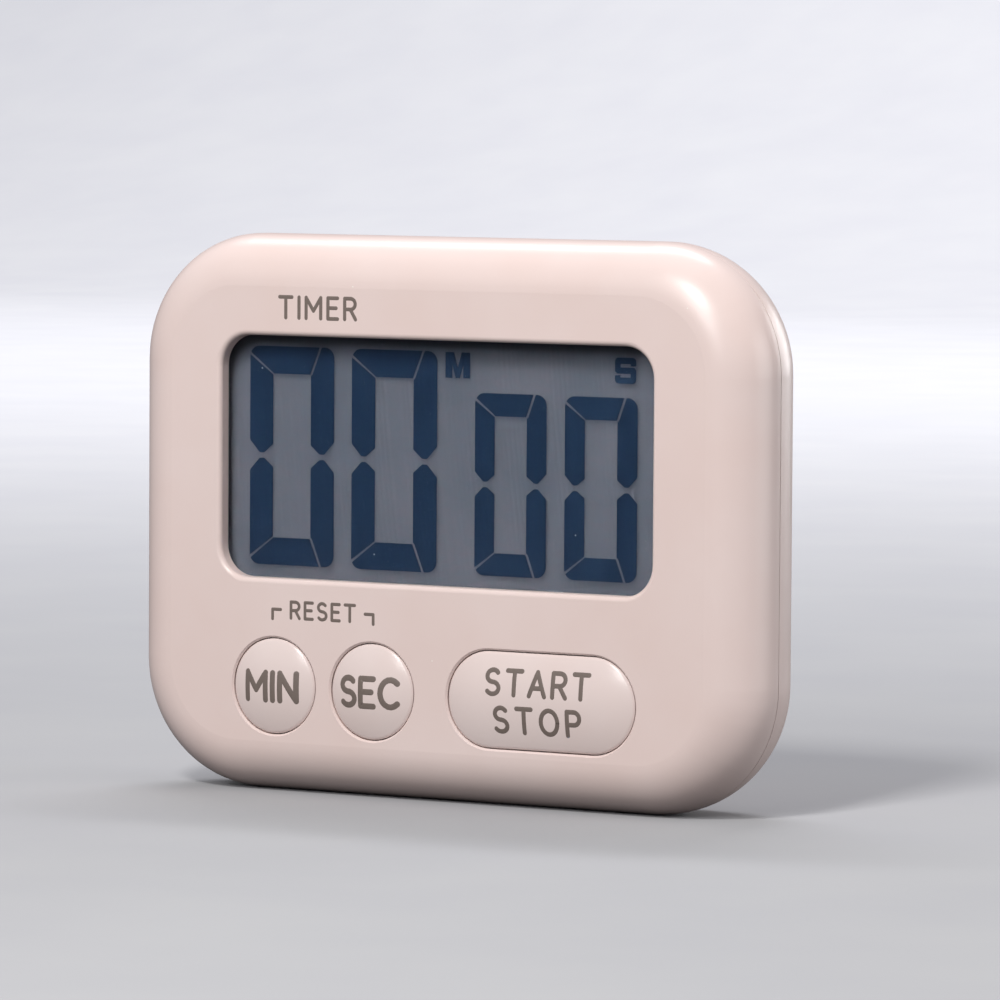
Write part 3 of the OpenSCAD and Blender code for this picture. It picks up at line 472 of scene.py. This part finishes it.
def print_tree(ink):
    """A pen of a given width follows every path, and its ink lies on the target's surface."""
    tree = bpy.data.node_groups.new("pad_print", "GeometryNodeTree")
    for name, kind in (("Paths", "NodeSocketGeometry"), ("Pen Width", "NodeSocketFloat"),
                       ("Ink Thickness", "NodeSocketFloat"), ("Surface", "NodeSocketObject")):
        tree.interface.new_socket(name, in_out="INPUT", socket_type=kind)
    tree.interface.new_socket("Print", in_out="OUTPUT", socket_type="NodeSocketGeometry")
    given = add(tree, "NodeGroupInput").outputs
    half = add(tree, "ShaderNodeMath", {0: given["Pen Width"], 1: 0.5}, operation="MULTIPLY").outputs[0]
    step = add(tree, "ShaderNodeMath", {0: given["Pen Width"], 1: 0.3}, operation="MULTIPLY").outputs[0]
    paths = add(tree, "GeometryNodeResampleCurve", {
        "Curve": given["Paths"], "Length": step}, mode="LENGTH").outputs[0]
    nib = add(tree, "GeometryNodeCurvePrimitiveCircle", {"Resolution": 12, "Radius": half}).outputs[0]
    lines = add(tree, "GeometryNodeCurveToMesh", {
        "Curve": paths, "Profile Curve": nib, "Fill Caps": True}).outputs[0]
    ends = add(tree, "GeometryNodeCurveToPoints", {"Curve": given["Paths"]}, mode="EVALUATED").outputs[0]
    dot = add(tree, "GeometryNodeMeshIcoSphere", {"Radius": half, "Subdivisions": 3}).outputs[0]
    dots = add(tree, "GeometryNodeInstanceOnPoints", {"Points": ends, "Instance": dot}).outputs[0]
    joined = add(tree, "GeometryNodeJoinGeometry")
    for part in (lines, dots):
        tree.links.new(part, joined.inputs[0])
    solid = add(tree, "GeometryNodeRealizeInstances", {0: joined.outputs[0]}).outputs[0]

    place = add(tree, "GeometryNodeInputPosition").outputs[0]
    split = add(tree, "ShaderNodeSeparateXYZ", {0: place}).outputs
    above = add(tree, "ShaderNodeCombineXYZ", {
        "X": split["X"], "Y": -RAY_START, "Z": split["Z"]}).outputs[0]
    target = add(tree, "GeometryNodeObjectInfo", {"Object": given["Surface"]}).outputs["Geometry"]
    hit = add(tree, "GeometryNodeRaycast", {
        "Target Geometry": target, "Source Position": above, "Ray Direction": (0, 1, 0),
        "Ray Length": RAY_START}).outputs["Hit Position"]
    surface_y = add(tree, "ShaderNodeSeparateXYZ", {0: hit}).outputs["Y"]
    pressed = add(tree, "ShaderNodeMath", {0: split["Y"], 1: half}, operation="DIVIDE").outputs[0]
    layer = add(tree, "ShaderNodeMath", {0: pressed, 1: given["Ink Thickness"]},
                operation="MULTIPLY").outputs[0]
    laid_y = add(tree, "ShaderNodeMath", {0: surface_y, 1: layer}, operation="ADD").outputs[0]
    laid = add(tree, "ShaderNodeCombineXYZ", {
        "X": split["X"], "Y": laid_y, "Z": split["Z"]}).outputs[0]
    moved = add(tree, "GeometryNodeSetPosition", {"Geometry": solid, "Position": laid}).outputs[0]
    inked = add(tree, "GeometryNodeSetMaterial", {"Geometry": moved, "Material": ink}).outputs[0]
    add(tree, "NodeGroupOutput", {"Print": inked})
    return tree


def pad_ink():
    """Grey-brown ink: matt, with the fine pinholes of a pad print."""
    material, tree, place = new_material("pad_printing_ink_grey_brown")
    shader = add(tree, "ShaderNodeBsdfPrincipled", {
        "Base Color": mottle(tree, place, 0.12, "#6F625B", "#766A63"),
        "Roughness": uneven(tree, place, 3, 0.45, 0.55), "Normal": grain(tree, place, 0.12, 0.001)})
    add(tree, "ShaderNodeOutputMaterial", {"Surface": shader.outputs[0]})
    return material


PAD_PRINT = print_tree(pad_ink())
INK_MM = 0.02               # thickness of the ink


def print_label(name, strokes_mm, pen_mm, surface, body):
    """Prints strokes, given in mm across and up, on the front of another object."""
    paths = bpy.data.curves.new(name, "CURVE")
    paths.dimensions = "3D"
    for stroke in strokes_mm:
        spline = paths.splines.new("POLY")
        spline.points.add(len(stroke) - 1)
        for point, (x, z) in zip(spline.points, stroke):
            point.co = (x * MM, 0, z * MM, 1)
    drawn = bpy.data.objects.new(name + "_paths", paths)
    bpy.context.scene.collection.objects.link(drawn)
    modifier = drawn.modifiers.new("print", "NODES")
    modifier.node_group = PAD_PRINT
    values = {"Pen Width": pen_mm * MM, "Ink Thickness": INK_MM * MM, "Surface": surface}
    for socket in PAD_PRINT.interface.items_tree:
        if socket.name in values:
            modifier[socket.identifier] = values[socket.name]
    graph = bpy.context.evaluated_depsgraph_get()
    mesh = bpy.data.meshes.new_from_object(drawn.evaluated_get(graph), depsgraph=graph)
    bpy.data.objects.remove(drawn)
    label = bpy.data.objects.new(name, mesh)
    bpy.context.scene.collection.objects.link(label)
    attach(label, body)
    print(name, len(mesh.polygons), "faces")
    return label


# %% Print the labels, with all sizes in mm
def middle_of(node):
    """The middle of a CAD node across and up, in mm."""
    low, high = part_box(node)
    return (low.x + high.x) / 2 / MM, (low.z + high.z) / 2 / MM


key_letter, key_pen = 3.7, 0.82
minute_middle, second_middle = middle_of("minute_button"), middle_of("second_button")
print_label("minute_label", word_paths("MIN", minute_middle, key_letter, 1.15), key_pen,
            caps["minute"], "minute_key")
print_label("second_label", word_paths("SEC", second_middle, key_letter, 1.0), key_pen,
            caps["second"], "second_key")

start_letter, start_pen = 3.2, 0.64
half_row = 2.5      # half the distance between the two lines on the start button
start_middle = middle_of("start_stop_button")
print_label("start_stop_label",
            word_paths("START", (start_middle[0], start_middle[1] + half_row), start_letter, 1.25)
            + word_paths("STOP", (start_middle[0], start_middle[1] - half_row), start_letter, 1.5),
            start_pen, caps["start_stop"], "start_stop_key")

reset_letter, reset_pen = 2.2, 0.45
reset_rise = 10.5           # from the middle of the buttons up to the word
reset_middle = ((minute_middle[0] + second_middle[0]) / 2, start_middle[1] + reset_rise)
reach, tick = 8.1, 1.3      # from the word's middle to a bracket, and a bracket's length
brackets = [[(reset_middle[0] + side * (reach - tick), reset_middle[1]),
             (reset_middle[0] + side * reach, reset_middle[1]),
             (reset_middle[0] + side * reach, reset_middle[1] - tick)] for side in (-1, 1)]
print_label("reset_label", word_paths("RESET", reset_middle, reset_letter, 0.9) + brackets,
            reset_pen, nodes["front_cover"], "case")

title_letter, title_pen = 2.8, 0.52
title_middle = (-18.3, 28.2)
print_label("timer_label", word_paths("TIMER", title_middle, title_letter, 1.15), title_pen,
            nodes["front_cover"], "case")

# %% [markdown]
# ## Studio
#
# The floor is a pale sweep that curves up far behind the timer, so no edge shows. A small lamp hangs
# close above in front, as a kitchen light does: the face grows darker towards its foot, and the rims
# of the buttons and the lip of the display catch a crisp glint. A front fill stands so high that an
# eye level with the display doesn't see it mirrored there. A side card and a rear fill stand behind
# the plane of the face, so they light the sides and the back but not the walls of the display's
# opening. Light that bounces off the floor would wipe out the shade under the case, so the floor
# returns less of it than the eye sees, as if a dark card lay just out of view.


# %% Floor, lamps and sky
def floor_paint():
    """Pale board paint that lights its surroundings less than it shows."""
    material, tree, place = new_material("painted_board_pale")
    shown = add(tree, "ShaderNodeBsdfDiffuse", {"Color": mottle(tree, place, 40, "#ACACAF", "#AFAFB1")})
    bounced = add(tree, "ShaderNodeBsdfDiffuse", {"Color": mottle(tree, place, 40, "#5A5A5C", "#5C5C5E")})
    seen = add(tree, "ShaderNodeLightPath").outputs["Is Camera Ray"]
    paint = add(tree, "ShaderNodeMixShader", {0: seen, 1: bounced.outputs[0], 2: shown.outputs[0]})
    add(tree, "ShaderNodeOutputMaterial", {"Surface": paint.outputs[0]})
    return material


def floor_sweep():
    """A floor that curves up into a wall, as one smooth sheet."""
    floor_z = cad_box[0].z - 0.1 * MM       # a hair lower, so that the case doesn't dip into it
    near, bend, far, top, half_width = -4.0, 1.6, 2.6, 2.4, 5.0
    radius = far - bend
    profile = [(near, floor_z), (bend, floor_z)]
    profile += [(bend + radius * math.sin(t), floor_z + radius * (1 - math.cos(t)))
                for t in (math.radians(5 * i) for i in range(1, 19))]
    profile += [(far, floor_z + top)]
    points = [(x, y, z) for y, z in profile for x in (-half_width, half_width)]
    faces = [(2 * i, 2 * i + 1, 2 * i + 3, 2 * i + 2) for i in range(len(profile) - 1)]
    mesh = bpy.data.meshes.new("floor_sweep")
    mesh.from_pydata(points, [], faces)
    mesh.shade_smooth()
    mesh.materials.append(floor_paint())
    sweep = bpy.data.objects.new("floor_sweep", mesh)
    bpy.context.scene.collection.objects.link(sweep)
    print("the floor lies at", round(floor_z / MM, 2), "mm")


def lamp(name, place, aim, size, power, colour):
    """A square area lamp at place that faces aim."""
    light = bpy.data.lights.new(name, "AREA")
    light.shape = "SQUARE"
    light.size = size
    light.energy = power
    light.color = linear(colour)[:3]
    lit = bpy.data.objects.new(name, light)
    lit.matrix_world = (Matrix.Translation(place)
                        @ (Vector(aim) - Vector(place)).to_track_quat("-Z", "Y").to_matrix().to_4x4())
    bpy.context.scene.collection.objects.link(lit)
    print(name, power, "W")


floor_sweep()
lamp("ceiling_lamp", (0.06, -0.45, 0.42), (0, 0, 0), 0.11, 2.25, "#FFFDFA")
lamp("front_fill", (0.05, -1.35, 0.62), (0, 0, 0), 0.5, 7.3, "#FFFFFF")
lamp("side_card", (0.75, 0.22, 0.12), (0, 0, 0), 0.5, 2.4, "#FFFFFF")
lamp("backdrop_lamp", (-0.6, 0.9, 1.7), (-1.0, 2.4, 0.3), 1.2, 84, "#FBFBFF")
lamp("rear_fill", (0.4, 1.4, 0.25), (0, 0, 0), 0.6, 6, "#FFFFFF")
sky = bpy.data.worlds.new("studio_sky")
sky.use_nodes = True
sky.node_tree.nodes.clear()
add(sky.node_tree, "ShaderNodeOutputWorld", {
    "Surface": add(sky.node_tree, "ShaderNodeBackground", {
        "Color": linear("#F3F5FA"), "Strength": 0.38}).outputs[0]})
bpy.context.scene.world = sky
bpy.context.scene.view_settings.view_transform = "Standard"
bpy.context.scene.cycles.transparent_max_bounces = 24
